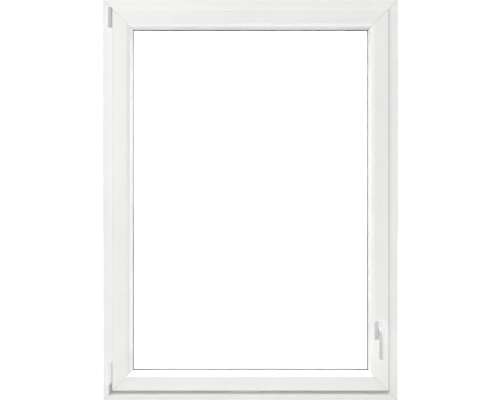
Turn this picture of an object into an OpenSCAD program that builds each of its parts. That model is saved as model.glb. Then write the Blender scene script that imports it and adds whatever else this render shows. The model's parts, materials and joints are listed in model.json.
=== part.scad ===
// Tilt-and-turn casement window in white PVC: one inward-opening sash, hinged on the left,
// seen from the room. The origin is the centre of the outer frame's bottom face.
// X runs to the right, Y from the room to the outside, Z up. Millimetres.
// Sections are drawn as [y, u], where u is the distance inward from the window's outer edge.

/* [Window] */
// Overall width of the outer frame
window_w = 1105; // [900:5:1300]
// Overall height of the outer frame
window_h = 1500; // [1300:10:1800]
// Height of the handle's axis above the frame's bottom face
handle_z = 262; // [240:1:420]

/* [Outer frame] */
// Depth of the frame profile, room face to outside face
frame_depth = 70; // [68:1:80]
// Width of the frame that shows beside the closed sash
frame_face = 35; // [33:1:45]
// How far the outside stop flange stands above the rebate
flange_h = 20; // [18:1:22]

/* [Sash] */
// How far the sash face stands in front of the frame face
sash_proud = 14; // [14:1:16]
// Overlap of the sash lip on the frame
overlap = 8; // [8:1:10]
// Clear gap in the rebate that holds the fittings
rebate_gap = 12; // [12:0.5:13]
// Width of the flat sash face, lip edge to glazing bead
sash_face = 53; // [53:1:60]
// Width of the glazing bead that shows
bead_w = 23.5; // [23:0.5:28]

/* [Glass] */
// Thickness of each pane
pane_t = 4; // [3:1:4]
// Gap between the panes
cavity_t = 16; // [16:1:18]

/* [Handle] */
// Rosette width
rosette_w = 49; // [46:1:50]
// Rosette height
rosette_h = 73; // [68:1:80]
// Distance from the sash face to the front of the grip
handle_reach = 60; // [55:1:70]
// Length of the lever below its axis
lever_len = 105; // [100:1:130]

/* [Hidden] */

$fn = 48;
SILL = 0;
LOCK = 1;
HEAD = 2;
HINGE = 3;
pvc_white = "#F4F4F2";
steel_grey = "#A9ACAE";
rubber_black = "#2B2C2D";

// Distances inward from the window's outer edge.
sash_edge = frame_face;
frame_rebate = frame_face + overlap;
sash_rebate = frame_rebate + rebate_gap;
flange_end = frame_rebate + flange_h;
bead_seat = sash_edge + sash_face;
sight = bead_seat + bead_w;
block_t = 6;
glass_edge = bead_seat + block_t;
miter_reach = sight + 8;

// Depths.
y_room = -frame_depth / 2;
y_out = frame_depth / 2;
y_sash = y_room - sash_proud;
y_sash_out = y_sash + 70;
y_lip = y_sash + 10.5;
y_flange = y_sash_out + 3.5;
groove_y = y_lip + 13;
y_leg = y_sash_out - 16;
gasket_t = 3;
y_glass_out = y_leg - gasket_t;
unit_t = 2 * pane_t + cavity_t;
y_glass_room = y_glass_out - unit_t;
y_bead_back = y_glass_room - gasket_t;
wall = 2.6;

// Pivots: the turning axis is vertical, the tilting axis runs along X, and the two cross.
pivot_x = -window_w / 2 + 27;
pivot_y = y_room - 8.5;
pivot_z = 38;

// Drive: a pinion on the handle's spindle moves the rods in the sash groove. The rack is on the
// pinion's inner side, on a bridge that carries the lock side's rod round the spindle.
backset = 10;
handle_u = sash_rebate + backset;
handle_x = window_w / 2 - handle_u;
tooth_module = 0.9;
teeth = 15;
pitch_r = tooth_module * teeth / 2;
pressure = 20;
base_r = pitch_r * cos(pressure);
tip_r = pitch_r + tooth_module;
root_r = pitch_r - 1.25 * tooth_module;
rack_addendum = 0.75;
tooth_pitch = PI * tooth_module;
backlash = 0.16;
gear_half_w = 3.6;
rod_travel = PI * pitch_r;
plate_t = 2.8;
rod_u = [sash_rebate + 3.1, sash_rebate + 5];
rod_half_w = 5.5;
cam_tip = frame_rebate + 4.2;
lock_cams = [175, 640, 1290 / 1500 * window_h];
top_cams = [window_w / 2 - 250];
bottom_cams = [-window_w / 2 + 250, window_w / 2 - 220];
stay_len = 450;
stay_slot_x = pivot_x + stay_len;
fixing_z = [200, window_h - 200];
inner_fixing_z = [window_h / 2 - 180, window_h / 2 + 180];
fixing_r = 3.2;
screw_r = 1.9;

// ---------- helpers ----------

// Points of a path whose corners [y, u, radius] are rounded, with steps segments on each arc.
function unit(v) = v / norm(v);
function corner_points(a, b, c, r, steps) =
  r <= 0 ? [b] :
  let (
    p = unit(a - b),
    q = unit(c - b),
    half = acos(p * q) / 2,
    centre = b + unit(p + q) * r / sin(half),
    start = b + p * r / tan(half) - centre,
    end = b + q * r / tan(half) - centre
  )
  [for (i = [0:steps]) let (
      w = i / steps, turn = 180 - 2 * half, v = start * sin((1 - w) * turn) + end * sin(w * turn))
    centre + unit(v) * r];
function rounded(pts, steps = 5) =
  let (n = len(pts), xy = [for (p = pts) [p[0], p[1]]])
  [for (i = [0:n - 1]) each corner_points(xy[(i + n - 1) % n], xy[i], xy[(i + 1) % n], pts[i][2], steps)];

// Puts children, drawn with x along the member, y the depth and z the distance u, on one side of the window.
module on_side(side) {
  place = [[0, 0], [window_w / 2, window_h / 2], [0, window_h], [-window_w / 2, window_h / 2]][side];
  translate([place[0], 0, place[1]]) rotate([0, [0, -90, 180, 90][side], 0]) children();
}
function side_len(side) = side % 2 == 0 ? window_w : window_h;
// Local x of a place given by its X on a rail, or by its Z on a stile.
function local_x(side, pos) = [pos, pos - window_h / 2, -pos, window_h / 2 - pos][side];
module at(side, pos) {
  on_side(side) translate([local_x(side, pos), 0, 0]) children();
}
module slab(x, y, u) {
  translate([x[0], y[0], u[0]]) cube([x[1] - x[0], y[1] - y[0], u[1] - u[0]]);
}
// A section [y, u] drawn out along x.
module bar(length) {
  rotate([90, 0, 90]) linear_extrude(height = length, center = true) children();
}
// One side of a frame of the given section, cut at 45 degrees at both ends.
module mitred(side, gap = 0) {
  half = side_len(side) / 2 - gap;
  on_side(side) intersection() {
    bar(side_len(side)) children();
    rotate([90, 0, 0]) linear_extrude(height = 200, center = true)
      polygon([[-half, 0], [half, 0], [half - miter_reach, miter_reach], [miter_reach - half, miter_reach]]);
  }
}
module ring() {
  for (side = [SILL:HINGE]) mitred(side) children();
}
module window2d(y, u) {
  translate([y[0], u[0]]) square([y[1] - y[0], u[1] - u[0]]);
}
// The shallow groove that cleaning leaves along each welded corner, on the face at depth y.
module weld_seams(y, size = 1.1) {
  for (sx = [-1, 1], top = [0, 1])
    translate([sx * window_w / 2, y, top * window_h])
      rotate([0, (top == 0 ? -45 : 45) + (sx > 0 ? (top == 0 ? -90 : 90) : 0), 0])
        rotate([45, 0, 0]) translate([-5, -size / 2, -size / 2]) cube([180, size, size]);
}
module rounded_rect(w, h, r) {
  square([w - 2 * r, h], center = true);
  square([w, h - 2 * r], center = true);
  for (x = [-1, 1], y = [-1, 1]) translate([x * (w / 2 - r), y * (h / 2 - r)]) circle(r);
}
// A solid along Y between two depths, from a shape drawn in the plane of the window.
module in_face(y) {
  translate([0, y[1], 0]) rotate([90, 0, 0]) linear_extrude(height = y[1] - y[0]) children();
}
module rod_y(r, y) {
  translate([0, y[1], 0]) rotate([90, 0, 0]) cylinder(r = r, h = y[1] - y[0]);
}
// A countersunk screw that points along +u, with its head's face at u and its shank length.
module screw_u(u, length) {
  translate([0, 0, u]) difference() {
    union() {
      cylinder(r1 = 3.6, r2 = screw_r, h = 2.2);
      cylinder(r = screw_r, h = length);
    }
    for (turn = [0, 90]) rotate(turn) translate([-1.8, -0.4, -1]) cube([3.6, 0.8, 2]);
  }
}
module screw_hole_u(u, length) {
  translate([0, 0, u]) {
    cylinder(r1 = 3.72, r2 = screw_r + 0.06, h = 2.2);
    translate([0, 0, -1]) cylinder(r = screw_r + 0.06, h = length + 1.3);
  }
}

// ---------- outer frame ----------

module frame_section() {
  difference() {
    polygon(rounded([
      [y_room, 0, 1.2], [y_room, frame_rebate, 2.2], [y_flange, frame_rebate, 1],
      [y_flange, flange_end, 1.5], [y_out, flange_end, 3], [y_out, 0, 1.2]
    ]));
    window2d([y_room + wall, y_room + 14], [6, frame_rebate - wall]);
    window2d([y_room + 16, y_flange - 11.5], [6, frame_rebate - wall]);
    window2d([y_flange - 9.5, y_flange], [6, frame_rebate - wall]);
    window2d([y_flange + 2, y_out - wall], [6, frame_rebate + 6]);
    window2d([y_flange + 5, y_out - wall], [frame_rebate + 8, flange_end - wall]);
    for (y = [y_room + 9, y_out - 17]) window2d([y, y + 8], [-1, 3.2]);
    window2d([y_flange - 1, y_flange + 2.5], [flange_end - 6.5, flange_end - 2.5]);
  }
}
drain_x = [-window_w / 2 + 230, 0, window_w / 2 - 230];
module frame_fixing_holes(side) {
  for (z = concat(fixing_z, inner_fixing_z))
    at(side, z) translate([0, 0, -1]) cylinder(r = fixing_r, h = frame_rebate + 2);
}
module frame_sill() {
  color(pvc_white) difference() {
    mitred(SILL) frame_section();
    weld_seams(y_room);
    weld_seams(y_out);
    for (x = drain_x) at(SILL, x) {
      slab([-14, 14], [y_flange - 7, y_flange - 2], [frame_rebate - 4, frame_rebate + 1]);
      slab([-14, 14], [y_flange - 1, y_flange + 3], [8, 12]);
      slab([-13, 13], [y_out - 4, y_out + 1], [12, 17]);
    }
    striker_holes(SILL);
  }
}
module frame_lock_jamb() {
  color(pvc_white) difference() {
    mitred(LOCK) frame_section();
    weld_seams(y_room);
    weld_seams(y_out);
    frame_fixing_holes(LOCK);
    striker_holes(LOCK);
  }
}
module frame_head() {
  color(pvc_white) difference() {
    mitred(HEAD) frame_section();
    weld_seams(y_room);
    weld_seams(y_out);
    striker_holes(HEAD);
  }
}
module frame_hinge_jamb() {
  color(pvc_white) difference() {
    mitred(HINGE) frame_section();
    weld_seams(y_room);
    weld_seams(y_out);
    frame_fixing_holes(HINGE);
    bearing_tenons(0.05);
  }
}
// Galvanised U channels in the middle chamber, one in each side.
module frame_steel() {
  color(steel_grey) difference() {
    for (side = [SILL:HINGE]) on_side(side)
      bar(side_len(side) - 2 * flange_end) difference() {
        window2d([y_room + 16.5, y_flange - 12], [6.5, frame_rebate - wall - 0.5]);
        window2d([y_room + 18, y_flange - 13.5], [5, frame_rebate - wall - 2]);
      }
    frame_fixing_holes(LOCK);
    frame_fixing_holes(HINGE);
  }
}
// The stop gasket on the outside flange.
module frame_gasket() {
  color(rubber_black) ring() {
    window2d([y_flange, y_flange + 2.5], [flange_end - 6.5, flange_end - 2.5]);
    polygon(rounded([
      [y_flange, flange_end - 7.5, 0], [y_flange, flange_end - 1.5, 0],
      [y_flange - 3.2, flange_end - 2.5, 1], [y_flange - 3.2, flange_end - 6, 1]
    ]));
  }
}
module drain_caps() {
  color(pvc_white) for (x = drain_x) at(SILL, x) difference() {
    union() {
      translate([0, 0, 14.5]) in_face([y_out, y_out + 3]) rounded_rect(38, 13, 2);
      slab([-12.8, 12.8], [y_out - 3, y_out], [12.2, 16.8]);
    }
    slab([-11, 11], [y_out - 4, y_out + 1.6], [13.4, 15.6]);
    slab([-11, 11], [y_out, y_out + 1.6], [7, 15.6]);
  }
}

// ---------- sash ----------

module sash_section() {
  difference() {
    polygon(rounded([
      [y_sash, sash_edge, 3.2], [y_sash, bead_seat, 0.8], [y_leg, bead_seat, 0],
      [y_leg, sight, 1.2], [y_leg + 5, sight, 1.5], [y_sash_out, sight - 6, 3],
      [y_sash_out, sash_rebate, 1.5], [y_lip, sash_rebate, 0.8], [y_lip, sash_edge, 1.8]
    ]));
    window2d([groove_y - 8, groove_y + 8], [sash_rebate - 1, sash_rebate + plate_t + 0.2]);
    window2d([groove_y - 6, groove_y + 6], [sash_rebate, sash_rebate + 9]);
    window2d([groove_y - 8.5, groove_y - 4.5], [bead_seat - 3.5, bead_seat + 1]);
    window2d([y_lip - 2.5, y_lip + 1], [sash_edge + 3.2, sash_edge + 6.8]);
    window2d([y_leg - 1, y_leg + 2.5], [sight - 7, sight - 3]);
    window2d([y_sash + wall, y_lip - 5], [sash_edge + 3.4, sash_rebate - 3]);
    window2d([y_sash + wall, groove_y - 11], [sash_rebate - 0.6, bead_seat - wall]);
    window2d([groove_y - 8.5, groove_y + 8.5], [sash_rebate + 11.5, bead_seat - 6]);
    window2d([groove_y + 11, y_leg + 2.6], [sash_rebate + wall, bead_seat - wall]);
    window2d([y_leg + 5.2, y_sash_out - wall], [sash_rebate + wall, sight - 9]);
  }
}
module sash_seams() {
  weld_seams(y_sash);
  weld_seams(y_sash_out);
}
module sash_bottom_rail() {
  color(pvc_white) difference() {
    mitred(SILL) sash_section();
    sash_seams();
    fitting_screw_holes(SILL);
  }
}
module sash_top_rail() {
  color(pvc_white) difference() {
    mitred(HEAD) sash_section();
    sash_seams();
    fitting_screw_holes(HEAD);
  }
}
module sash_hinge_stile() {
  color(pvc_white) difference() {
    mitred(HINGE) sash_section();
    sash_seams();
    hinge_screw_holes();
  }
}
// The lock stile is milled out for the gearbox and drilled for the spindle and the handle's screws.
module sash_lock_stile() {
  color(pvc_white) difference() {
    mitred(LOCK) sash_section();
    sash_seams();
    fitting_screw_holes(LOCK);
    at(LOCK, handle_z) {
      slab([-72, 72], [groove_y - 7, groove_y + 7], [sash_rebate - 1, case_end + 1]);
      translate([0, 0, handle_u]) rod_y(8, [y_sash - 1, groove_y]);
      for (x = [-21.5, 21.5]) translate([x, 0, handle_u]) rod_y(5, [y_sash - 1, groove_y]);
    }
  }
}
module sash_steel() {
  color(steel_grey) for (side = [SILL:HINGE]) on_side(side)
    bar(side_len(side) - 2 * bead_seat) difference() {
      window2d([groove_y + 11.5, y_leg + 2.1], [sash_rebate + wall + 0.5, bead_seat - wall - 0.5]);
      window2d([groove_y + 13, y_leg + 3], [sash_rebate + wall + 2, bead_seat - wall - 2]);
    }
}
// The seal on the back of the lip, notched where the two hinge leaves pass.
module sash_gasket() {
  color(rubber_black) difference() {
    ring() {
      window2d([y_lip - 2.5, y_lip], [sash_edge + 3.2, sash_edge + 6.8]);
      polygon(rounded([
        [y_lip, sash_edge + 2.6, 0], [y_lip, sash_edge + 7.6, 0],
        [y_lip + 3.2, sash_edge + 6.4, 1], [y_lip + 3.2, sash_edge + 3.8, 1]
      ]));
    }
    for (z = [stay_leaf_z, corner_leaf_z])
      at(HINGE, (z[0] + z[1]) / 2)
        slab([(z[0] - z[1]) / 2 - 1, (z[1] - z[0]) / 2 + 1],
          [y_lip - 0.3, y_room + 1], [sash_edge, sash_edge + 10]);
  }
}

// ---------- glazing ----------

module bead_section() {
  difference() {
    polygon(rounded([
      [y_sash + 1, bead_seat, 0], [y_sash + 0.8, bead_seat + 1.5, 0.8], [y_sash + 6, bead_seat + 13, 6],
      [y_bead_back - 7, sight - 3, 6], [y_bead_back - 3, sight - 0.3, 1.2], [y_bead_back, sight - 0.3, 0.5],
      [y_bead_back, bead_seat + 8, 1], [y_bead_back - 3, bead_seat, 0], [groove_y - 4.8, bead_seat, 0],
      [groove_y - 4.8, bead_seat - 3.2, 0.4], [groove_y - 8.2, bead_seat - 3.2, 0.4],
      [groove_y - 8.2, bead_seat, 0]
    ]));
    polygon(rounded([
      [y_sash + 4.5, bead_seat + 2.4, 0.6], [y_sash + 8.5, bead_seat + 11.5, 2],
      [y_bead_back - 2.2, bead_seat + 14.5, 1], [y_bead_back - 4, bead_seat + 2.4, 0.6]
    ]));
  }
}
module bead(side) {
  color(pvc_white) mitred(side, gap = 0.12) bead_section();
}
module glazing_gasket_room() {
  color(rubber_black) ring()
    polygon(rounded([
      [y_bead_back, sight - 9, 0], [y_bead_back, sight - 0.6, 0], [y_bead_back + 0.4, sight + 1.6, 0.5],
      [y_glass_room, sight + 1.6, 0], [y_glass_room, sight - 8, 0]
    ]));
}
module glazing_gasket_outer() {
  color(rubber_black) ring() {
    window2d([y_leg, y_leg + 2.5], [sight - 7, sight - 3]);
    polygon(rounded([
      [y_leg, sight - 9, 0], [y_leg, sight + 0.4, 0], [y_glass_out, sight + 1.6, 0.5],
      [y_glass_out, sight - 9, 0]
    ]));
  }
}
module pane(y) {
  translate([0, 0, window_h / 2]) in_face([y, y + pane_t])
    square([window_w - 2 * glass_edge, window_h - 2 * glass_edge], center = true);
}
module glass_pane_room() {
  color("#D8E8E4", 0.3) pane(y_glass_room);
}
module glass_pane_outer() {
  color("#D8E8E4", 0.3) pane(y_glass_out - pane_t);
}
module glass_spacer() {
  color("silver") ring() difference() {
    window2d([y_glass_room + pane_t, y_glass_out - pane_t], [glass_edge + 4, glass_edge + 11]);
    window2d([y_glass_room + pane_t + 1, y_glass_out - pane_t - 1], [glass_edge + 5, glass_edge + 10]);
  }
}
module glass_edge_seal() {
  color(rubber_black) ring()
    window2d([y_glass_room + pane_t, y_glass_out - pane_t], [glass_edge, glass_edge + 4]);
}
// Blocks that carry and centre the glass unit: two on each side of the sash.
module setting_blocks() {
  color("#3C6E9E") for (side = [SILL:HINGE], end = [-1, 1]) on_side(side)
    translate([end * (side_len(side) / 2 - glass_edge - 130), 0, 0])
      slab([-50, 50], [y_glass_room + 1, y_glass_out - 1], [bead_seat, glass_edge]);
}

// ---------- drive ----------

function involute(a) = tan(a) * 180 / PI - a;
function half_tooth(r) =
  90 / teeth + involute(pressure) - involute(acos(min(1, base_r / r))) - backlash / 2 / pitch_r * 180 / PI;
flank_r = [root_r, base_r, base_r + 0.4, base_r + 0.9, tip_r];
function polar(r, a) = [r * cos(a), r * sin(a)];
function gear_points() = [
  for (k = [0:teeth - 1]) let (mid = -90 + (k + 0.5) * 360 / teeth) each concat(
    [for (i = [0:4]) polar(flank_r[i], mid - half_tooth(max(flank_r[i], base_r)))],
    [for (i = [4:-1:0]) polar(flank_r[i], mid + half_tooth(max(flank_r[i], base_r)))]
  )
];
module drive_pinion() {
  color(steel_grey) at(LOCK, handle_z) translate([0, 0, handle_u]) difference() {
    union() {
      in_face([groove_y - gear_half_w, groove_y + gear_half_w]) polygon(gear_points());
      rod_y(6.2, [groove_y - 6.4, groove_y - gear_half_w]);
      rod_y(6.2, [groove_y + gear_half_w, groove_y + 6.4]);
    }
    slab([-3.55, 3.55], [groove_y - 10, groove_y + 10], [-3.55, 3.55]);
  }
}
// The case is closed round the pinion and the rack bridge, and open towards the rods. Its two
// bosses reach through the sash's room side for the handle's screws.
rack_u = handle_u + pitch_r;
bridge_u = [rack_u + 1.2, rack_u + 3.2];
bridge_x = [-rod_travel - tip_r - 5, tip_r + 5];
case_end = bridge_u[1] + 2.3;
module gearbox_case() {
  color(steel_grey) at(LOCK, handle_z) difference() {
    union() {
      slab([-70, 70], [groove_y - 6.5, groove_y + 6.5], [rod_u[1] + 0.3, case_end]);
      for (x = [-21.5, 21.5]) translate([x, 0, handle_u]) rod_y(4.8, [y_sash + 4, groove_y - 6]);
    }
    slab([bridge_x[0] - 0.6, bridge_x[1] + rod_travel + 0.6], [groove_y - 4.7, groove_y + 5.4],
      [rod_u[1], bridge_u[1] + 0.5]);
    translate([0, 0, handle_u]) {
      rod_y(tip_r + 0.35, [groove_y - 4.7, groove_y + 4.7]);
      rod_y(6.27, [groove_y - 10, groove_y + 10]);
      for (x = [-21.5, 21.5]) translate([x, 0, 0]) rod_y(2.52, [y_sash, groove_y - 1]);
    }
  }
}
module rod_bar(span) {
  slab(span, [groove_y - rod_half_w, groove_y + rod_half_w], rod_u);
}
// The bridge: two legs stand on the rod behind the handle's screws and carry the rack, whose
// teeth are in mesh at the low end of their travel.
module rack_bridge() {
  leg_y = [groove_y + 0.6, groove_y + 5];
  for (x = [[bridge_x[0], bridge_x[0] + 4], [bridge_x[1] - 4, bridge_x[1]]])
    slab(x, leg_y, [rod_u[0], bridge_u[1]]);
  slab(bridge_x, [groove_y - gear_half_w, groove_y + 5], bridge_u);
  for (k = [-9:1])
    translate([(k + 0.5) * tooth_pitch, groove_y + gear_half_w, rack_u]) rotate([90, 0, 0])
      linear_extrude(height = 2 * gear_half_w)
        polygon([for (p = [[-1, 1.4], [-1, -rack_addendum], [1, -rack_addendum], [1, 1.4]])
          [p[0] * (tooth_pitch / 4 - backlash / 2 + p[1] * tan(pressure)), p[1]]]);
}
lock_rod_span = [lock_cams[0] - 12, lock_cams[2] + 25];
top_rod_span = [top_cams[0] - 40, window_w / 2 - 200];
bottom_rod_span = [bottom_cams[0] - 25, bottom_cams[1] + 40];
module drive_rod_lock() {
  color("#C8C9CB") {
    difference() {
      on_side(LOCK) rod_bar([for (z = lock_rod_span) local_x(LOCK, z)]);
      rod_slots(LOCK, lock_rod_span);
      at(LOCK, handle_z)
        slab([bridge_x[0] + 2, bridge_x[1] - 2], [groove_y - 9, groove_y + 9], [rod_u[0] - 1, rod_u[1] + 1]);
    }
    at(LOCK, handle_z) rack_bridge();
  }
}
module drive_rod_top() {
  color("#C8C9CB") on_side(HEAD) rod_bar([local_x(HEAD, top_rod_span[1]), local_x(HEAD, top_rod_span[0])]);
}
module drive_rod_bottom() {
  color("#C8C9CB") difference() {
    on_side(SILL) rod_bar([for (x = bottom_rod_span) local_x(SILL, x)]);
    rod_slots(SILL, bottom_rod_span);
  }
}
// A locking cam: a stud on the rod with a mushroom head.
module cam() {
  translate([0, groove_y, 0]) rotate_extrude() polygon([
    [0, cam_tip], [4.4, cam_tip], [5, cam_tip + 0.6], [5, cam_tip + 2.2], [3.8, cam_tip + 3.4],
    [3.8, sash_rebate - 1],
    [3, sash_rebate - 0.5], [3, rod_u[0]], [0, rod_u[0]]
  ]);
}
module cams(side, places) {
  color("#D9DADB") for (p = places) at(side, p) cam();
}
// A slot in a faceplate for a cam that travels from 0 to reach along x.
module cam_slot(reach) {
  translate([0, groove_y, sash_rebate - 1]) linear_extrude(height = plate_t + 2) {
    translate([min(0, reach), -3.6]) square([abs(reach), 7.2]);
    circle(3.6);
    translate([reach, 0]) circle(3.6);
  }
}
module faceplate(side, span) {
  slab([for (i = [0, 1]) local_x(side, span[i])],
    [groove_y - 7.8, groove_y + 7.8], [sash_rebate, sash_rebate + plate_t]);
}
plate_z = [sash_rebate + 60, window_h - sash_rebate - 60];
plate_x = [-window_w / 2 + sash_rebate + 60, window_w / 2 - sash_rebate - 60];
module faceplate_lock() {
  color(steel_grey) difference() {
    on_side(LOCK) faceplate(LOCK, plate_z);
    for (z = lock_cams) at(LOCK, z) cam_slot(rod_travel);
    fitting_screw_holes(LOCK);
    at(LOCK, handle_z)
      slab([-8.4, 8.4], [groove_y - 4.1, groove_y + 4.1], [sash_rebate - 1, sash_rebate + plate_t + 1]);
  }
}
// The slot near the stay's end takes the stay's sliding pin.
module faceplate_top() {
  color(steel_grey) difference() {
    on_side(HEAD) faceplate(HEAD, [plate_x[1], plate_x[0]]);
    for (x = top_cams) at(HEAD, x) cam_slot(rod_travel);
    on_side(HEAD) slab([local_x(HEAD, stay_slot_x + 8), local_x(HEAD, stay_slot_x - 42)],
      [groove_y - 6, groove_y + 6], [sash_rebate - 1, sash_rebate + plate_t + 1]);
    fitting_screw_holes(HEAD);
  }
}
module faceplate_bottom() {
  color(steel_grey) difference() {
    on_side(SILL) faceplate(SILL, plate_x);
    for (x = bottom_cams) at(SILL, x) cam_slot(rod_travel);
    fitting_screw_holes(SILL);
  }
}
// Corner guides lead the drive round the two corners on the lock side.
guide_len = 59.5;
module guide_section() {
  window2d([groove_y - 7.8, groove_y + 7.8], [sash_rebate, sash_rebate + plate_t]);
}
module corner_guides() {
  color(steel_grey) for (side = [SILL, HEAD]) difference() {
    intersection() {
      union() {
        on_side(side) bar(window_w - 2 * sash_rebate) guide_section();
        on_side(LOCK) bar(window_h - 2 * sash_rebate) guide_section();
      }
      translate([window_w / 2 - sash_rebate - guide_len, groove_y - 10,
                 side == SILL ? sash_rebate : window_h - sash_rebate - guide_len])
        cube([guide_len, 20, guide_len]);
    }
    fitting_screw_holes(side);
    fitting_screw_holes(LOCK);
  }
}

// ---------- strikers ----------

// Two low catch lips stand behind the cam where the handle locks it and where it tilts; between
// them, where the handle is level, the cam leaves freely.
module striker(low_end, high_end) {
  difference() {
    union() {
      slab([low_end, high_end], [groove_y - 8, groove_y + 11.5], [frame_rebate, frame_rebate + 2.4]);
      for (x = [[low_end + 12, low_end + 24.2], [high_end - 24.2, high_end - 12]])
        slab(x, [groove_y - 8, groove_y - 6.2], [frame_rebate, frame_rebate + 3.7]);
    }
    for (x = [low_end + 6, high_end - 6]) translate([x, groove_y + 4, 0]) rotate([180, 0, 0])
      translate([0, 0, -frame_rebate - 2.4]) cylinder(r1 = 3.65, r2 = screw_r + 0.05, h = 2.5);
  }
}
// Each cam's striker reaches over the cam's whole travel, which runs towards high local x.
function striker_span() = [-20, rod_travel + 20];
module strikers(side, places) {
  color("#B9BBBD") for (p = places) at(side, p) striker(striker_span()[0], striker_span()[1]);
}
module each_striker(side) {
  places = [bottom_cams, lock_cams, top_cams, []][side];
  for (p = places, x = [striker_span()[0] + 6, striker_span()[1] - 6])
    at(side, p) translate([x, groove_y + 4, frame_rebate]) children();
}
module striker_holes(side) {
  each_striker(side) translate([0, 0, -16]) cylinder(r = screw_r + 0.05, h = 20);
  if (side == SILL) keep_screws() translate([0, 0, -16]) cylinder(r = screw_r + 0.05, h = 20);
}
module down_screw(thickness) {
  difference() {
    union() {
      translate([0, 0, thickness - 2.3]) cylinder(r1 = screw_r, r2 = 3.55, h = 2.2);
      translate([0, 0, -14]) cylinder(r = screw_r, h = 14 + thickness - 1);
    }
    for (turn = [0, 90]) rotate(turn) translate([-1.8, -0.4, thickness - 1.2]) cube([3.6, 0.8, 2]);
  }
}
module striker_screws() {
  color("silver") {
    for (side = [SILL, LOCK, HEAD]) each_striker(side) down_screw(2.4);
    keep_screws() down_screw(2.4);
  }
}
// The tilt keep carries the sash's lock-side corner while it is tilted.
keep_x = window_w / 2 - 110;
module keep_screws() {
  for (x = [-22, 22]) at(SILL, keep_x) translate([x, groove_y + 4, frame_rebate]) children();
}
module tilt_keep() {
  color("#B9BBBD") difference() {
    at(SILL, keep_x) {
      slab([-28, 28], [groove_y - 8, groove_y + 11.5], [frame_rebate, frame_rebate + 2.4]);
      slab([-14, 14], [groove_y + 8, groove_y + 11.5], [frame_rebate, frame_rebate + 9]);
    }
    keep_screws() translate([0, 0, -0.1]) cylinder(r1 = screw_r + 0.08, r2 = 3.75, h = 2.5);
  }
}
// A ramp on the sash that lifts it level as it closes.
module sash_lifter() {
  color("#E8E8E6") at(SILL, keep_x)
    translate([0, groove_y, 0]) rotate([90, 0, 0]) linear_extrude(height = 10, center = true)
      polygon([[-13, sash_rebate], [13, sash_rebate], [9, sash_rebate - 5.5], [-9, sash_rebate - 5.5]]);
}

// ---------- screws in the sash ----------

screw_places = [
  [-window_w / 2 + 135, 0, window_w / 2 - 135, window_w / 2 - 85],
  [85, 125, 345, 560, 760, 1000 / 1500 * window_h, window_h - 130, window_h - 85],
  [-window_w / 2 + 135, -180, 60, window_w / 2 - 135, window_w / 2 - 85]
];
module each_fitting_screw(side) {
  for (p = screw_places[side]) at(side, p) translate([0, groove_y, 0]) children();
}
// Slots in a rod for the screws that pass through it, as long as the rod's travel.
module rod_slots(side, span) {
  for (p = screw_places[side])
    if (p > span[0] - 3 && p < span[1] + 3) at(side, p) translate([0, groove_y, rod_u[0] - 1])
      linear_extrude(height = 8) {
        translate([-rod_travel, -2.5]) square([rod_travel, 5]);
        circle(2.5);
        translate([-rod_travel, 0]) circle(2.5);
      }
}
module fitting_screw_holes(side) {
  each_fitting_screw(side) screw_hole_u(sash_rebate, 16);
}
module fitting_screws() {
  color("silver") for (side = [SILL, LOCK, HEAD]) each_fitting_screw(side) screw_u(sash_rebate, 15);
}

// ---------- upper hinge: stay bearing and stay arm ----------

stay_knuckle_z = [window_h - 90, window_h - 54.4];
stay_leaf_z = [window_h - 88, window_h - 56];
stay_bearing_z = [window_h - 103, window_h - 30];
stay_arm_z = [window_h - sash_rebate + 3, window_h - sash_rebate + 6];
corner_leaf_z = [60.5, 142];
knuckle_r = 7;
pin_r = 3;
leaf_y = [y_lip + 0.3, y_room - 0.4];
module at_pivot() {
  translate([pivot_x, pivot_y, 0]) children();
}
module upright(r, z) {
  translate([0, 0, z[0]]) cylinder(r = r, h = z[1] - z[0]);
}
module box_z(x, y, z) {
  slab(x, y, z);
}
// Tenons that hold the two frame-side bearings in the hinge jamb.
module bearing_tenons(grow = 0) {
  for (z = [stay_bearing_z[0] + 5, stay_bearing_z[1] - 5, bearing_z[0] + 3, bearing_z[1] - 3])
    translate([pivot_x, 0, z]) rod_y(2 + grow, [y_room, y_room + 12 + grow]);
}
module stay_bearing() {
  color(steel_grey) difference() {
    union() {
      at_pivot() {
        for (z = [[stay_bearing_z[0], stay_knuckle_z[0] - 0.4],
                  [stay_knuckle_z[1] + 0.4, stay_bearing_z[1]]]) {
          upright(knuckle_r, z);
          box_z([-knuckle_r, knuckle_r], [0, y_room - pivot_y], z);
        }
        box_z([-knuckle_r, -0.6], [y_room - pivot_y - 1.1, y_room - pivot_y], stay_bearing_z);
      }
      intersection() {
        bearing_tenons();
        translate([-window_w, y_room, window_h / 2]) cube([window_w, 30, window_h]);
      }
    }
    at_pivot() upright(pin_r + 0.03, [stay_bearing_z[0] - 1, stay_bearing_z[1] + 1]);
  }
}
// A clip-on cover over a bearing's screw plate, beside the barrel, of the given thickness.
module flange_cover(z, thickness) {
  face = y_room - pivot_y;
  at_pivot() intersection() {
    box_z([-14.5, -7.6], [face - thickness, face], z);
    translate([0, 0, z[0]]) linear_extrude(height = z[1] - z[0]) polygon(rounded([
      [-14.5, face + 0.1, 0], [-14.5, face - thickness, thickness * 0.7],
      [-7.6, face - thickness, thickness * 0.2], [-7.6, face + 0.1, 0]
    ]));
  }
}
module stay_bearing_cover() {
  color(pvc_white) flange_cover(stay_bearing_z, 3);
}
module stay_bearing_pin() {
  color("silver") at_pivot() {
    upright(pin_r, [stay_bearing_z[0] - 2, stay_bearing_z[1] + 1]);
    upright(pin_r + 1.2, [stay_bearing_z[1], stay_bearing_z[1] + 2.5]);
  }
}
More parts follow.
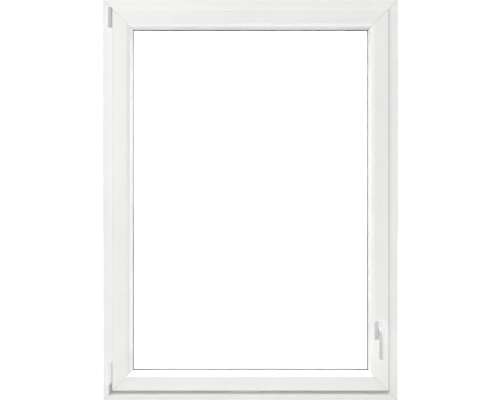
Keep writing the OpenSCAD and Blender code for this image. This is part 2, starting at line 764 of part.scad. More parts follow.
// The stay arm: an eye on the bearing pin, a leaf through the overlap gap, a bend into the rebate
// and a flat arm along the top of the sash.
module stay_arm() {
  color(steel_grey) difference() {
    at_pivot() {
      upright(knuckle_r, stay_knuckle_z);
      box_z([0, 20], [leaf_y[0] - pivot_y, leaf_y[1] - pivot_y], stay_leaf_z);
      box_z([0, 4], [3.8, leaf_y[1] - pivot_y], stay_leaf_z);
      box_z([17.5, 20], [leaf_y[0] - pivot_y, groove_y - pivot_y + 6], [stay_leaf_z[0], stay_arm_z[1]]);
      box_z([17.5, stay_len + 9], [groove_y - pivot_y - 6.5, groove_y - pivot_y + 6.5], stay_arm_z);
    }
    at_pivot() upright(pin_r + 0.06, [0, window_h]);
    translate([stay_slot_x, groove_y, 0]) upright(2.02, [stay_arm_z[0] - 1, stay_arm_z[1] + 1]);
    for (x = [120, 300]) translate([pivot_x + x, groove_y, stay_arm_z[0] - 1])
      linear_extrude(height = 5) rounded_rect(46, 6, 2.9);
  }
}
module stay_slide_pin() {
  color("silver") translate([stay_slot_x, groove_y, 0]) {
    upright(2, [stay_arm_z[0], stay_arm_z[1] + 0.8]);
    upright(2.8, [stay_arm_z[0] - 10.5, stay_arm_z[0]]);
  }
}
// The finger on the sash that the arm rests against while the sash turns.
module stay_catch() {
  color("#B9BBBD") at(HEAD, pivot_x + 200) {
    slab([-22, 22], [y_lip + 0.2, groove_y - 8], [sash_rebate - 2, sash_rebate]);
    slab([-14, 14], [groove_y - 11, groove_y - 8.6], [sash_rebate - 6, sash_rebate - 2]);
  }
}

// ---------- lower hinge: corner bearing, knuckle and corner hinge ----------

bearing_z = [45, 56];
knuckle_z = [31.7, 44.7];
barrel_z = [58.5, 142];
ear_x = [5.2, 7.6];
// The bearing's pin hangs down through the knuckle and ends in a head that carries it.
module corner_bearing() {
  color(steel_grey) {
    at_pivot() {
      upright(4.6, bearing_z);
      box_z([-4.6, 4.6], [0, y_room - pivot_y], bearing_z);
      upright(2.5, [knuckle_z[0] - 1.4, bearing_z[0]]);
      upright(3.6, [knuckle_z[0] - 1.4, knuckle_z[0] - 0.3]);
    }
    intersection() {
      bearing_tenons();
      translate([-window_w, y_room, 0]) cube([window_w, 30, window_h / 2]);
    }
  }
}
// The bearing's cap is thin, so that the barrel clears it when the turned sash leans over it.
module corner_bearing_cap() {
  color(pvc_white) flange_cover([bearing_z[0], barrel_z[1]], 0.95);
}
// The knuckle turns on the bearing's pin and carries the tilting trunnion.
module pivot_knuckle() {
  color("#77797C") at_pivot() {
    difference() {
      upright(4.7, knuckle_z);
      upright(2.56, [0, knuckle_z[1] + 1]);
    }
    translate([4.2, 0, pivot_z]) rotate([0, 90, 0]) cylinder(r = 2.4, h = ear_x[1] - 4.2);
  }
}
module corner_hinge() {
  color(steel_grey) difference() {
    at_pivot() {
      upright(5.4, barrel_z);
      box_z(ear_x, [-5, 5], [pivot_z, barrel_z[0] + 6]);
      translate([ear_x[0], 0, pivot_z]) rotate([0, 90, 0]) cylinder(r = 5, h = ear_x[1] - ear_x[0]);
      box_z([0, ear_x[1]], [-4, 4], [barrel_z[0], barrel_z[0] + 6]);
      box_z([0, 4.5], [2, leaf_y[1] - pivot_y], corner_leaf_z);
      box_z([0, sash_rebate - 27], [leaf_y[0] - pivot_y, leaf_y[1] - pivot_y], corner_leaf_z);
      box_z([sash_rebate - 29.5, sash_rebate - 27],
        [leaf_y[0] - pivot_y, groove_y - pivot_y + 9], corner_leaf_z);
    }
    at_pivot() translate([0, 0, pivot_z]) rotate([0, 90, 0]) cylinder(r = 2.46, h = 20);
    hinge_screw_holes();
  }
}
module corner_hinge_cap() {
  color(pvc_white) at_pivot() difference() {
    upright(7.3, [barrel_z[0] - 0.5, barrel_z[1] + 2]);
    upright(5.45, [0, barrel_z[1]]);
    box_z([-0.4, 10], [0, 10], [0, barrel_z[1]]);
    box_z([-0.4, 10], [-10, 10], [0, barrel_z[0] + 6.5]);
  }
}
module each_hinge_screw() {
  for (z = [76, 100, 124]) at(HINGE, z) translate([0, groove_y, 0]) children();
}
module hinge_screw_holes() {
  each_hinge_screw() screw_hole_u(sash_rebate - 2.5, 18);
}
module hinge_screws() {
  color("silver") each_hinge_screw() screw_u(sash_rebate - 2.5, 17);
}

// ---------- handle ----------

cover_t = 11;
y_cover = y_sash - cover_t;
y_grip = y_sash - handle_reach;
grip_t = 13;
neck_r = 8.5;
module at_handle() {
  translate([handle_x, 0, handle_z]) children();
}
module rosette_base() {
  color("#D0D1D2") at_handle() difference() {
    in_face([y_sash - 5, y_sash]) rounded_rect(28, rosette_h - 6.5, 5);
    rod_y(6, [y_sash - 10, y_sash + 1]);
    for (z = [-21.5, 21.5]) translate([0, 0, z]) rod_y(2.55, [y_sash - 10, y_sash + 1]);
  }
}
// The cover's section across: a narrow flat top between two long slopes that end in thin edges.
module cover_roof(wall, height) {
  half = rosette_w / 2 - wall;
  linear_extrude(height = height, center = true) polygon(rounded([
    [-half, y_sash + 1, 0], [-half, y_sash - 3.2 + wall, 1.2], [-9.5, y_cover + wall, 8],
    [9.5, y_cover + wall, 8], [half, y_sash - 3.2 + wall, 1.2], [half, y_sash + 1, 0]
  ]));
}
module rosette_cover() {
  color(pvc_white) at_handle() difference() {
    intersection() {
      cover_roof(0, rosette_h);
      union() {
        in_face([y_cover + 1.2, y_sash]) rounded_rect(rosette_w, rosette_h, 7);
        in_face([y_cover - 1, y_cover + 1.2]) rounded_rect(rosette_w - 2, rosette_h - 2, 6);
      }
    }
    cover_roof(2, rosette_h - 5);
    rod_y(neck_r + 0.3, [y_cover - 1, y_sash + 1]);
  }
}
module handle_screws() {
  color("silver") at_handle() for (z = [-21.5, 21.5]) translate([0, 0, z]) difference() {
    union() {
      rod_y(2.5, [y_sash - 5, groove_y - 1.4]);
      rod_y(4.2, [y_sash - 8, y_sash - 5]);
    }
    for (turn = [0, 90]) rotate([0, turn, 0]) slab([-2, 2], [y_sash - 9, y_sash - 6.5], [-0.5, 0.5]);
  }
}
// The lever: a round neck that turns in the base, an elbow and a flat grip with bevelled edges.
grip_w = 19;
elbow_top = 13.5;
module handle_lever() {
  neck_end = y_grip + 24;
  side = [
    [neck_end, elbow_top - 4, 0], [y_grip + 12, elbow_top, 6], [y_grip, elbow_top, 9], [y_grip, -35, 90],
    [y_grip + 13, -lever_len, 3], [y_grip + 22, -lever_len, 4], [y_grip + grip_t - 0.5, -45, 90],
    [y_grip + grip_t, -12, 8], [neck_end, -9.5, 0]
  ];
  front = [
    [-grip_w / 2, elbow_top, 7], [grip_w / 2, elbow_top, 7], [grip_w / 2, -10, 20],
    [grip_w / 2 - 0.5, -lever_len, 5], [0.5 - grip_w / 2, -lever_len, 5], [-grip_w / 2, -10, 20]
  ];
  section = [
    [-grip_w / 2, y_grip + 3.5, 1.5], [-grip_w / 2 + 4.5, y_grip, 3], [grip_w / 2 - 4.5, y_grip, 3],
    [grip_w / 2, y_grip + 3.5, 1.5], [grip_w / 2, neck_end, 0], [-grip_w / 2, neck_end, 0]
  ];
  back = [
    [-grip_w / 2, y_grip, 0], [grip_w / 2, y_grip, 0], [grip_w / 2, y_grip + grip_t - 2.5, 3],
    [4, neck_end, 0], [-4, neck_end, 0], [-grip_w / 2, y_grip + grip_t - 2.5, 3]
  ];
  color(pvc_white) at_handle() difference() {
    union() {
      intersection() {
        rotate([90, 0, 90]) linear_extrude(height = 40, center = true) polygon(rounded(side));
        translate([0, neck_end + 1, 0]) rotate([90, 0, 0])
          linear_extrude(height = 26) polygon(rounded(front, 8));
        translate([0, 0, -lever_len - 1])
          linear_extrude(height = lever_len + elbow_top + 2) polygon(rounded(section, 4));
        translate([0, 0, -lever_len - 1])
          linear_extrude(height = lever_len + elbow_top + 2) polygon(rounded(back, 4));
      }
      rod_y(neck_r, [y_grip + 8, y_sash - 5.4]);
      rod_y(5.94, [y_sash - 6, y_sash - 0.4]);
    }
    slab([-3.52, 3.52], [y_sash - 36, y_sash], [-3.52, 3.52]);
  }
}
module handle_spindle() {
  color("silver") at_handle() slab([-3.5, 3.5], [y_sash - 35, groove_y + 6.4], [-3.5, 3.5]);
}

frame_sill();
frame_lock_jamb();
frame_head();
frame_hinge_jamb();
frame_steel();
frame_gasket();
drain_caps();
sash_bottom_rail();
sash_lock_stile();
sash_top_rail();
sash_hinge_stile();
sash_steel();
sash_gasket();
bead(SILL);  // bead_bottom
bead(LOCK);  // bead_lock
bead(HEAD);  // bead_top
bead(HINGE);  // bead_hinge
glazing_gasket_room();
glazing_gasket_outer();
glass_pane_room();
glass_pane_outer();
glass_spacer();
glass_edge_seal();
setting_blocks();
gearbox_case();
drive_pinion();
faceplate_lock();
faceplate_top();
faceplate_bottom();
corner_guides();
drive_rod_lock();
drive_rod_top();
drive_rod_bottom();
cams(LOCK, lock_cams);  // cams_lock
cams(HEAD, top_cams);  // cams_top
cams(SILL, bottom_cams);  // cams_bottom
strikers(LOCK, lock_cams);  // strikers_lock
strikers(HEAD, top_cams);  // strikers_top
strikers(SILL, bottom_cams);  // strikers_bottom
tilt_keep();
striker_screws();
fitting_screws();
stay_bearing();
stay_bearing_cover();
stay_bearing_pin();
stay_arm();
stay_slide_pin();
stay_catch();
corner_bearing();
corner_bearing_cap();
pivot_knuckle();
corner_hinge();
corner_hinge_cap();
hinge_screws();
rosette_base();
rosette_cover();
handle_screws();
handle_lever();
handle_spindle();
sash_lifter();
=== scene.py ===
"""Visual model of a white PVC tilt-and-turn casement window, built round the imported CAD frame."""
import json
import math

import bmesh
import bpy
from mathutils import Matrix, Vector

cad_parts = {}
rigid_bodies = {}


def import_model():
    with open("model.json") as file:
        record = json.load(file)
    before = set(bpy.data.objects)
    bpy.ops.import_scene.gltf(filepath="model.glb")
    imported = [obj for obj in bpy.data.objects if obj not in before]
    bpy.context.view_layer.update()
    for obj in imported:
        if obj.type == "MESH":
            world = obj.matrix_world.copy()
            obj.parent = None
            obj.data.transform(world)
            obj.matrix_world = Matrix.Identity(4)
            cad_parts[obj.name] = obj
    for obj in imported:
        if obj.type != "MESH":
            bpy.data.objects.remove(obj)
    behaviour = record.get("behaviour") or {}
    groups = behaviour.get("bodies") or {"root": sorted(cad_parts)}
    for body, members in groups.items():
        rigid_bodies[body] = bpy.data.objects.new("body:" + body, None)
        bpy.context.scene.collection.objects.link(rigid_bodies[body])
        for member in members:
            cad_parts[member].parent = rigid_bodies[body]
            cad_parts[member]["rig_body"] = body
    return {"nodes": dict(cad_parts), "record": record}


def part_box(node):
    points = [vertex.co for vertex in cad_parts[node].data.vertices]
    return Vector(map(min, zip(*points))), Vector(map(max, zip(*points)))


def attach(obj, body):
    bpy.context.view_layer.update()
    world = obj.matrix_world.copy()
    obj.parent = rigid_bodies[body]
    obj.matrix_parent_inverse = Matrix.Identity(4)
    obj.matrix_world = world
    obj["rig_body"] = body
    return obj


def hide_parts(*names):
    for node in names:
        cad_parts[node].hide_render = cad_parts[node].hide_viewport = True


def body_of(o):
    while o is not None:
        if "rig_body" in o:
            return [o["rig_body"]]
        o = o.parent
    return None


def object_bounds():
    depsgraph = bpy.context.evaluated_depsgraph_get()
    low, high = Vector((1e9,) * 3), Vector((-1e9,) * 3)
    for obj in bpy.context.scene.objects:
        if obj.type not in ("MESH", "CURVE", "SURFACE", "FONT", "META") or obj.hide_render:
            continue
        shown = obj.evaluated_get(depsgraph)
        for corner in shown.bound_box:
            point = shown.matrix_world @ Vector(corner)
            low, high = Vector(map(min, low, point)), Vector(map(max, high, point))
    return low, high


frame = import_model()
cad_low, cad_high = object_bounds()
NODES = frame["nodes"]
MM = 0.001


# ---------------------------------------------------------------- materials

def new_material(name):
    """A material with a Principled shader, and a helper that adds and joins nodes in it."""
    mat = bpy.data.materials.new(name)
    mat.use_nodes = True
    tree = mat.node_tree
    tree.nodes.clear()
    shader = tree.nodes.new("ShaderNodeBsdfPrincipled")
    out = tree.nodes.new("ShaderNodeOutputMaterial")
    tree.links.new(shader.outputs["BSDF"], out.inputs["Surface"])
    return mat, tree, shader


def scaled_coords(tree, scale):
    """Places on the object at rest, in metres, times a scale for each axis."""
    coord = tree.nodes.new("ShaderNodeTexCoord")
    mapping = tree.nodes.new("ShaderNodeMapping")
    mapping.inputs["Scale"].default_value = scale
    tree.links.new(coord.outputs["Object"], mapping.inputs["Vector"])
    return mapping.outputs["Vector"]


def noise(tree, scale, size, detail=3.0, rough=0.5):
    """Noise whose features are about 1/size metres across, stretched by scale."""
    node = tree.nodes.new("ShaderNodeTexNoise")
    node.inputs["Scale"].default_value = size
    node.inputs["Detail"].default_value = detail
    node.inputs["Roughness"].default_value = rough
    tree.links.new(scaled_coords(tree, scale), node.inputs["Vector"])
    return node.outputs["Fac"]


def ramp(tree, fac, stops):
    """The colour at fac on a ramp of (position, colour) stops."""
    node = tree.nodes.new("ShaderNodeValToRGB")
    elements = node.color_ramp.elements
    while len(elements) < len(stops):
        elements.new(0.5)
    for element, (pos, colour) in zip(elements, stops):
        element.position = pos
        element.color = (*colour, 1.0)
    tree.links.new(fac, node.inputs["Fac"])
    return node.outputs["Color"]


def spread(tree, fac, low, high, start=0.3, end=0.7):
    """Maps fac from start..end to low..high."""
    node = tree.nodes.new("ShaderNodeMapRange")
    for key, value in (("From Min", start), ("From Max", end), ("To Min", low), ("To Max", high)):
        node.inputs[key].default_value = value
    tree.links.new(fac, node.inputs["Value"])
    return node.outputs["Result"]


def maths(tree, operation, a, b):
    """A math node's result. A single-value operation takes no notice of b."""
    node = tree.nodes.new("ShaderNodeMath")
    node.operation = operation
    for socket, value in zip(node.inputs, (a, b)):
        if isinstance(value, (int, float)):
            socket.default_value = value
        else:
            tree.links.new(value, socket)
    return node.outputs[0]


def blended(tree, first, second, share):
    """A mix of two values, with this share of the first."""
    first_part = maths(tree, "MULTIPLY", first, share)
    return maths(tree, "ADD", first_part, maths(tree, "MULTIPLY", second, 1.0 - share))


def multiply(tree, colour, factor):
    """The colour times a factor or another colour."""
    node = tree.nodes.new("ShaderNodeMix")
    node.data_type = "RGBA"
    node.blend_type = "MULTIPLY"
    node.inputs["Factor"].default_value = 1.0
    tree.links.new(colour, node.inputs["A"])
    tree.links.new(factor, node.inputs["B"])
    return node.outputs["Result"]


def bump(tree, shader, height, distance, strength=1.0):
    node = tree.nodes.new("ShaderNodeBump")
    node.inputs["Distance"].default_value = distance
    node.inputs["Strength"].default_value = strength
    tree.links.new(height, node.inputs["Height"])
    tree.links.new(node.outputs["Normal"], shader.inputs["Normal"])


def weld_seam(tree, colour, half_width=0.9 * MM, depth=0.26):
    """The colour, darker along the 45 degree weld or mitre that runs in from each corner of the window."""
    split = tree.nodes.new("ShaderNodeSeparateXYZ")
    tree.links.new(scaled_coords(tree, (1, 1, 1)), split.inputs[0])
    half_width_x, half_height_z = (cad_high.x - cad_low.x) / 2, (cad_high.z - cad_low.z) / 2
    beside_middle = maths(tree, "ABSOLUTE", split.outputs["X"], 0.0)
    above_middle = maths(tree, "SUBTRACT", split.outputs["Z"], (cad_high.z + cad_low.z) / 2)
    from_side = maths(tree, "SUBTRACT", half_width_x, beside_middle)
    from_end = maths(tree, "SUBTRACT", half_height_z, maths(tree, "ABSOLUTE", above_middle, 0.0))
    off_seam = maths(tree, "ABSOLUTE", maths(tree, "SUBTRACT", from_side, from_end), 0.0)
    line = spread(tree, off_seam, depth, 0.0, half_width * 0.6, half_width * 1.8)
    dirt = spread(tree, noise(tree, (1, 1, 1), 160.0, 3.0, 0.6), 0.75, 1.1)
    keep = maths(tree, "SUBTRACT", 1.0, maths(tree, "MULTIPLY", line, dirt))
    return multiply(tree, colour, keep)


def extruded_pvc(name, along):
    """White extruded PVC: fine draw lines along the member, a faint mottle and a satin skin."""
    mat, tree, shader = new_material(name)
    across, lengthwise = 260.0, 1.5
    stretch = [across, across, across]
    stretch["XYZ".index(along)] = lengthwise
    lines = noise(tree, stretch, 1.0, 2.0, 0.45)
    mottle = noise(tree, (1, 1, 1), 9.0, 4.0, 0.55)
    grain = noise(tree, (1, 1, 1), 900.0, 2.0, 0.6)
    tone = blended(tree, lines, mottle, 0.35)
    colour = ramp(tree, tone, [(0.3, (0.85, 0.848, 0.833)), (0.5, (0.865, 0.864, 0.85)),
                               (0.7, (0.882, 0.88, 0.868))])
    tree.links.new(weld_seam(tree, colour), shader.inputs["Base Color"])
    tree.links.new(spread(tree, tone, 0.30, 0.42), shader.inputs["Roughness"])
    shader.inputs["Coat Weight"].default_value = 0.12
    shader.inputs["Coat Roughness"].default_value = 0.22
    shader.inputs["IOR"].default_value = 1.5
    height = maths(tree, "ADD", lines, maths(tree, "MULTIPLY", grain, 0.5))
    bump(tree, shader, height, 0.03 * MM, 0.6)
    return mat


def moulded(name, low, high, rough=(0.3, 0.4), coat=0.0, peel=450.0):
    """Moulded or enamelled surface with a faint orange peel."""
    mat, tree, shader = new_material(name)
    mottle = noise(tree, (1, 1, 1), 30.0, 4.0, 0.55)
    skin = noise(tree, (1, 1, 1), peel, 2.0, 0.5)
    tree.links.new(ramp(tree, mottle, [(0.3, low), (0.7, high)]), shader.inputs["Base Color"])
    tree.links.new(spread(tree, skin, *rough), shader.inputs["Roughness"])
    shader.inputs["Coat Weight"].default_value = coat
    shader.inputs["Coat Roughness"].default_value = 0.12
    bump(tree, shader, skin, 0.03 * MM, 0.6)
    return mat


def metal(name, low, high, rough, size=300.0):
    """Bare or plated metal with a fine grain and faint patches."""
    mat, tree, shader = new_material(name)
    brushed = noise(tree, (1, 1, 1), size, 3.0, 0.6)
    patches = noise(tree, (1, 1, 1), 40.0, 4.0, 0.6)
    tone = blended(tree, brushed, patches, 0.5)
    tree.links.new(ramp(tree, tone, [(0.32, low), (0.68, high)]), shader.inputs["Base Color"])
    tree.links.new(spread(tree, tone, *rough), shader.inputs["Roughness"])
    shader.inputs["Metallic"].default_value = 1.0
    bump(tree, shader, brushed, 0.02 * MM, 0.5)
    return mat


def rubber(name, low, high):
    """Matt rubber with a little dust."""
    mat, tree, shader = new_material(name)
    dust = noise(tree, (1, 1, 1), 120.0, 5.0, 0.65)
    skin = noise(tree, (1, 1, 1), 1500.0, 2.0, 0.5)
    tree.links.new(ramp(tree, dust, [(0.3, low), (0.75, high)]), shader.inputs["Base Color"])
    tree.links.new(spread(tree, dust, 0.5, 0.72), shader.inputs["Roughness"])
    bump(tree, shader, skin, 0.02 * MM, 0.5)
    return mat


def glass(name):
    """Clear float glass with a very faint film of dust in its roughness."""
    mat, tree, shader = new_material(name)
    film = noise(tree, (1, 1, 1), 4.0, 6.0, 0.7)
    tree.links.new(spread(tree, film, 0.0, 0.02, 0.45, 0.8), shader.inputs["Roughness"])
    tint = ramp(tree, film, [(0.2, (0.985, 0.995, 0.99)), (0.8, (0.99, 1.0, 0.995))])
    tree.links.new(tint, shader.inputs["Base Color"])
    shader.inputs["IOR"].default_value = 1.45
    shader.inputs["Transmission Weight"].default_value = 1.0
    return mat


def spacer_metal(name):
    """Aluminium spacer bar with its two rows of tiny breathing holes."""
    mat, tree, shader = new_material(name)
    cells = tree.nodes.new("ShaderNodeTexVoronoi")
    cells.inputs["Scale"].default_value = 400.0
    cells.inputs["Randomness"].default_value = 0.0
    tree.links.new(scaled_coords(tree, (1, 1, 1)), cells.inputs["Vector"])
    satin = noise(tree, (1, 1, 1), 250.0, 3.0, 0.5)
    base = ramp(tree, satin, [(0.3, (0.66, 0.67, 0.68)), (0.7, (0.78, 0.79, 0.8))])
    holes = ramp(tree, cells.outputs["Distance"], [(0.12, (0.05, 0.05, 0.05)), (0.2, (1.0, 1.0, 1.0))])
    tree.links.new(multiply(tree, base, holes), shader.inputs["Base Color"])
    tree.links.new(spread(tree, satin, 0.3, 0.45), shader.inputs["Roughness"])
    shader.inputs["Metallic"].default_value = 1.0
    return mat


PVC_RAIL = extruded_pvc("white_pvc_rail", "X")
PVC_STILE = extruded_pvc("white_pvc_stile", "Z")
CAP = moulded("white_cap", (0.89, 0.89, 0.885), (0.92, 0.92, 0.915), coat=0.1)
ENAMEL = moulded("white_enamel", (0.86, 0.86, 0.855), (0.9, 0.9, 0.895), (0.2, 0.28), coat=0.4, peel=700.0)
ZINC = metal("zinc_steel", (0.6, 0.61, 0.62), (0.76, 0.77, 0.78), (0.28, 0.4))
GALVANISED = metal("galvanised_steel", (0.52, 0.53, 0.54), (0.66, 0.67, 0.68), (0.4, 0.55), size=90.0)
RUBBER = rubber("gasket_rubber", (0.02, 0.02, 0.021), (0.045, 0.045, 0.046))
PALE_RUBBER = rubber("outer_glazing_rubber", (0.36, 0.365, 0.37), (0.46, 0.465, 0.47))
PAINTED = moulded("painted_hinge", (0.56, 0.57, 0.575), (0.6, 0.61, 0.615), (0.4, 0.5), coat=0.05)
SEALANT = rubber("edge_sealant", (0.01, 0.01, 0.01), (0.02, 0.02, 0.021))
BLOCK = moulded("block_plastic", (0.16, 0.32, 0.5), (0.2, 0.37, 0.56), (0.45, 0.6))
GLASS = glass("clear_glass")
SPACER = spacer_metal("spacer_aluminium")

BY_SLOT = {
    "white_cap": CAP, "white_enamel": ENAMEL, "grey_metal": PAINTED, "zinc_steel": ZINC,
    "galvanised_steel": GALVANISED, "gasket_rubber": RUBBER, "edge_sealant": SEALANT,
    "block_plastic": BLOCK, "clear_glass": GLASS, "spacer_aluminium": SPACER,
}
SPECIAL = {"glazing_gasket_outer": PALE_RUBBER, "stay_arm": PAINTED, "corner_bearing": PAINTED}
UPRIGHT = ("jamb", "stile", "bead_lock", "bead_hinge")
for part in frame["record"]["subparts"]:
    node, slot = part["node"], part["material_slot"]
    if slot == "white_pvc":
        material = PVC_STILE if any(word in node for word in UPRIGHT) else PVC_RAIL
    else:
        material = BY_SLOT[slot]
    material = SPECIAL.get(node, material)
    for place in NODES[node].material_slots:
        place.material = material


# ---------------------------------------------------------------- shaped pieces

def smooth_piece(name, mesh, material, body, subdivide=0):
    """The mesh as a smooth piece of the object that moves with a body."""
    bmesh.ops.recalc_face_normals(mesh, faces=mesh.faces)
    data = bpy.data.meshes.new(name)
    mesh.to_mesh(data)
    mesh.free()
    data.materials.append(material)
    for face in data.polygons:
        face.use_smooth = True
    piece = bpy.data.objects.new(name, data)
    bpy.context.collection.objects.link(piece)
    if subdivide:
        rounding = piece.modifiers.new("rounding", "SUBSURF")
        rounding.levels = rounding.render_levels = subdivide
    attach(piece, body)
    return piece


def bridge(mesh, first, second):
    """Quads between two closed rings of the same number of points."""
    count = len(first)
    for i in range(count):
        j = (i + 1) % count
        mesh.faces.new((first[i], first[j], second[j], second[i]))


def lever_grip(centre, grip_y):
    """The lever from its elbow to its tip: a domed face that bends back towards the sash lower down."""
    # Height from the spindle's axis, half width, and front and back from the grip's face, in mm.
    stations = [
        (13.2, 4.6, 8.0, 15.0), (12.2, 7.4, 4.2, 21.5), (8.5, 9.0, 1.4, 23.6), (2.0, 9.4, 0.4, 23.6),
        (-5.0, 9.4, 0.2, 21.0), (-11.0, 9.3, 0.2, 15.5), (-20.0, 9.3, 0.4, 13.2), (-36.0, 9.3, 1.2, 13.0),
        (-60.0, 9.2, 4.8, 15.2), (-85.0, 9.2, 9.5, 18.8), (-100.0, 9.1, 12.6, 21.2),
        (-103.6, 8.2, 14.0, 21.0),
        (-104.9, 5.0, 15.6, 19.6),
    ]
    outline = [(0.0, 0.0), (0.4, 0.02), (0.74, 0.12), (0.95, 0.34), (1.0, 0.62), (0.86, 0.9), (0.45, 1.0),
               (0.0, 1.0)]
    outline += [(-u, v) for u, v in reversed(outline[1:-1])]
    mesh = bmesh.new()
    rings = []
    for height, half, front, back in stations:
        rings.append([mesh.verts.new((
            centre.x + u * half * MM, grip_y + (front + v * (back - front)) * MM, centre.z + height * MM))
            for u, v in outline])
    for first, second in zip(rings, rings[1:]):
        bridge(mesh, first, second)
    mesh.faces.new(rings[0])
    mesh.faces.new(rings[-1])
    return mesh


def lever_neck(centre, sash_y, bore, segments=64):
    """The hollow round neck between grip and rosette, with a small collar. Its bore's radius is in mm."""
    # Depth from the sash's face and radius, in mm.
    profile = [
        (-0.6, bore), (-0.6, 5.85), (-5.6, 5.85), (-5.7, 8.0), (-6.0, 8.35), (-12.6, 8.35), (-13.2, 8.3),
        (-13.8, 7.9), (-15.0, 7.7), (-28.0, 7.7), (-36.0, 8.1), (-44.0, 8.1), (-44.6, 7.6), (-44.6, bore),
    ]
    mesh = bmesh.new()
    rings = []
    for depth, radius in profile:
        rings.append([mesh.verts.new((
            centre.x + radius * MM * math.cos(2 * math.pi * i / segments), sash_y + depth * MM,
            centre.z + radius * MM * math.sin(2 * math.pi * i / segments))) for i in range(segments)])
    for first, second in zip(rings, rings[1:] + rings[:1]):
        bridge(mesh, first, second)
    return mesh


def rosette_shell(low, high, centre, hole, wall=1.8 * MM, segments=96):
    """The rosette's cover: a soft ridge down the middle, two long slopes, rounded rims and a hollow back."""
    half_x, half_z, height = (high.x - low.x) / 2, (high.z - low.z) / 2, high.y - low.y
    edge, ridge, soft = 3.2 * MM, 9.5 * MM, 3.0 * MM
    rim_power = 0.28
    inset = -0.05 * MM
    back = "back"

    def outline(angle, grow):
        c, s = math.cos(angle), math.sin(angle)
        across = math.copysign(abs(c) ** rim_power, c)
        upward = math.copysign(abs(s) ** rim_power, s)
        return (half_x + grow) * across, (half_z + grow) * upward

    def roof(x):
        """Depth of the cover at x: a ridge whose shoulders are rounded over."""
        down = (height - edge) / (half_x - ridge)
        past = (abs(x) - ridge) / soft
        if past < -1:
            return height
        fall = (past + 1) ** 2 / 4 * soft if past < 1 else past * soft
        return height - down * fall

    def ring(share, sink, grow):
        """A ring a share of the way from hole to rim, sunk below the roof or at the cover's back."""
        points = []
        for i in range(segments):
            angle = 2 * math.pi * i / segments
            x1, z1 = outline(angle, grow)
            x0, z0 = hole * math.cos(angle), hole * math.sin(angle)
            x, z = x0 + (x1 - x0) * share, z0 + (z1 - z0) * share
            y = high.y - (0.02 * MM if sink == back else max(roof(x) - sink, 0.4 * MM))
            points.append(mesh.verts.new((centre.x + x, y, centre.z + z)))
        return points

    mesh = bmesh.new()
    rings = [ring(share, 0.0, inset) for share in (0.0, 0.06, 0.2, 0.36, 0.52, 0.66, 0.78, 0.88, 0.94)]
    rings += [ring(share, sink * MM, inset) for share, sink in ((0.968, 0.12), (0.987, 0.5), (1.0, 1.4))]
    rings += [ring(1.0, back, inset), ring(1.0, back, -wall)]
    rings += [ring(share, wall, -wall) for share in (1.0, 0.85, 0.6, 0.3, 0.0)]
    for first, second in zip(rings, rings[1:] + rings[:1]):
        bridge(mesh, first, second)
    return mesh


def body_holding(node):
    """The name of the body that a CAD node rides on."""
    return body_of(NODES[node])[0]


lever_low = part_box("handle_lever")[0]
spindle_low, spindle_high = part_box("handle_spindle")
cover_low, cover_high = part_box("rosette_cover")
HANDLE_AXIS = (spindle_low + spindle_high) / 2
SASH_FACE_Y = cover_high.y
LEVER_BODY = body_holding("handle_lever")
SPINDLE_BORE = 5.1
NECK_HOLE = 8.8 * MM
grip = smooth_piece("lever_grip", lever_grip(HANDLE_AXIS, lever_low.y), ENAMEL, LEVER_BODY,
                    subdivide=2)
neck = smooth_piece("lever_neck", lever_neck(HANDLE_AXIS, SASH_FACE_Y, SPINDLE_BORE), ENAMEL, LEVER_BODY)
rosette = smooth_piece("rosette_shell", rosette_shell(cover_low, cover_high, HANDLE_AXIS, NECK_HOLE), CAP,
                       body_holding("rosette_cover"))
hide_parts("handle_lever")
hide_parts("handle_lever")
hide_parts("rosette_cover")

# ---------------------------------------------------------------- studio

WINDOW_CENTRE = Vector((0.0, 0.0, 0.75))


def first_sight(tree):
    """1 for rays that come from the camera, or from it through glass, and 0 for rays that light a surface."""
    path = tree.nodes.new("ShaderNodeLightPath")
    seen = maths(tree, "MAXIMUM", path.outputs["Is Camera Ray"], path.outputs["Is Transmission Ray"])
    bounced = maths(tree, "ADD", path.outputs["Diffuse Depth"], path.outputs["Glossy Depth"])
    return maths(tree, "MULTIPLY", seen, maths(tree, "LESS_THAN", bounced, 0.5))


def studio_world(seen_strength, front_strength, back_strength):
    """A white backdrop. It lights the window softly, and strongly where its light comes through the glass."""
    world = bpy.data.worlds.new("studio")
    bpy.context.scene.world = world
    world.use_nodes = True
    tree = world.node_tree
    tree.nodes.clear()
    path = tree.nodes.new("ShaderNodeLightPath")
    lighting = spread(tree, path.outputs["Is Transmission Ray"], front_strength, back_strength, 0.0, 1.0)
    seen = first_sight(tree)
    strength = maths(tree, "ADD", maths(tree, "MULTIPLY", lighting, maths(tree, "SUBTRACT", 1.0, seen)),
                     maths(tree, "MULTIPLY", seen, seen_strength))
    background = tree.nodes.new("ShaderNodeBackground")
    tree.links.new(strength, background.inputs["Strength"])
    out = tree.nodes.new("ShaderNodeOutputWorld")
    tree.links.new(background.outputs["Background"], out.inputs["Surface"])


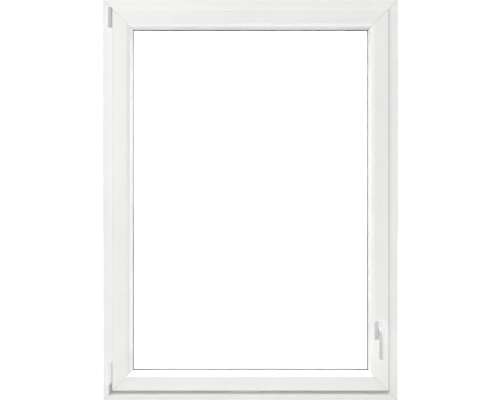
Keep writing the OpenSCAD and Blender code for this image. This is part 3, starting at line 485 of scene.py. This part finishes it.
def pale_floor(radius=30.0, tone=0.3, seen_strength=0.97, fill_strength=0.1):
    """A pale disc under the window. It looks as white as the backdrop and gives an even fill from below."""
    mesh = bpy.data.meshes.new("floor")
    disc = bmesh.new()
    bmesh.ops.create_circle(disc, cap_ends=True, radius=radius, segments=96)
    disc.to_mesh(mesh)
    disc.free()
    floor = bpy.data.objects.new("floor", mesh)
    floor.location.z = -0.5 * MM
    bpy.context.collection.objects.link(floor)
    mat, tree, shader = new_material("pale_floor")
    shader.inputs["Base Color"].default_value = (tone, tone, tone, 1.0)
    shader.inputs["Roughness"].default_value = 0.9
    glow = tree.nodes.new("ShaderNodeEmission")
    strength = spread(tree, first_sight(tree), fill_strength, seen_strength, 0.0, 1.0)
    tree.links.new(strength, glow.inputs["Strength"])
    both = tree.nodes.new("ShaderNodeAddShader")
    tree.links.new(shader.outputs["BSDF"], both.inputs[0])
    tree.links.new(glow.outputs["Emission"], both.inputs[1])
    out = next(n for n in tree.nodes if n.type == "OUTPUT_MATERIAL")
    tree.links.new(both.outputs["Shader"], out.inputs["Surface"])
    mesh.materials.append(mat)


def add_light(name, kind, place, power, **settings):
    """A light at a place, aimed at the window's centre."""
    data = bpy.data.lights.new(name, kind)
    data.energy = power
    for key, value in settings.items():
        setattr(data, key, value)
    light = bpy.data.objects.new(name, data)
    light.location = place
    light.rotation_euler = (WINDOW_CENTRE - Vector(place)).to_track_quat("-Z", "Y").to_euler()
    bpy.context.collection.objects.link(light)
    return light


def group(name, things, state):
    """A light-linking collection that includes or leaves out these things."""
    holder = bpy.data.collections.new(name)
    for thing in things:
        holder.objects.link(thing)
    for entry in holder.collection_objects:
        entry.light_linking.link_state = state
    return holder


studio_world(seen_strength=1.35, front_strength=0.15, back_strength=14.0)
pale_floor()

# The handle gets two soft lights of its own, and the small fittings cast no hard shadow.
HANDLE = [grip, neck, rosette]
FITTINGS = ("rosette_base", "handle_screws", "handle_spindle", "stay_bearing", "stay_arm", "stay_bearing_pin",
            "stay_bearing_cover")
SMALL = HANDLE + [NODES[name] for name in FITTINGS]
key = add_light("key", "SUN", (-0.3, -4.5, 5.6), 2.2, angle=math.radians(12))
left = add_light("left", "AREA", (-2.8, -5.4, 2.2), 100.0, shape="RECTANGLE", size=5.0, size_y=3.0)
add_light("back", "SUN", (1.6, 4.6, 4.4), 2.0, angle=math.radians(20))
for light in (key, left):
    light.light_linking.receiver_collection = group(light.name + "_lights", HANDLE, "EXCLUDE")
    light.light_linking.blocker_collection = group(light.name + "_blocked_by", SMALL, "EXCLUDE")
side = add_light("handle_side", "SUN", (3.0, -1.9, 4.85), 2.4, angle=math.radians(20))
fill = add_light("handle_fill", "SUN", (0.2, -4.0, 1.0), 1.25, angle=math.radians(30))
for light in (side, fill):
    light.light_linking.receiver_collection = group(light.name + "_lights", HANDLE, "INCLUDE")

# Daylight from behind, which comes through the panes onto the beads' steep inner faces.
CLEAR = [NODES[n] for n in ("glass_pane_room", "glass_pane_outer")]
through = add_light("through_glass", "SUN", (2.6, 1.5, -1.2), 1.6, angle=math.radians(20))
BEADS = [NODES["bead_hinge"], NODES["bead_top"]]
through.light_linking.receiver_collection = group("beads", BEADS, "INCLUDE")
floor = bpy.data.objects["floor"]
below = add_light("from_below", "SUN", (0.0, -2.4, -2.45), 0.75, angle=math.radians(20))
below.light_linking.receiver_collection = group("top_bead", [NODES["bead_top"]], "INCLUDE")
below.light_linking.blocker_collection = group("not_blocked_by_floor", [floor], "EXCLUDE")
through.light_linking.blocker_collection = group("not_blocked_by", CLEAR + [floor], "EXCLUDE")

CAMERA_X = -0.0019
CAMERA_DISTANCE = 6.0
FRAME_FACE_Y = -0.035
PICTURE_WIDTH = 1.875
camera_data = bpy.data.cameras.new("camera")
camera = bpy.data.objects.new("camera", camera_data)
bpy.context.collection.objects.link(camera)
camera.location = (CAMERA_X, FRAME_FACE_Y - CAMERA_DISTANCE, WINDOW_CENTRE.z)
camera.rotation_euler = (math.pi / 2, 0.0, 0.0)
camera_data.sensor_width = 36.0
camera_data.lens = camera_data.sensor_width * CAMERA_DISTANCE / PICTURE_WIDTH
camera_data.clip_end = 100.0
scene = bpy.context.scene
scene.camera = camera
scene.view_settings.view_transform = "Standard"
scene.view_settings.look = "None"
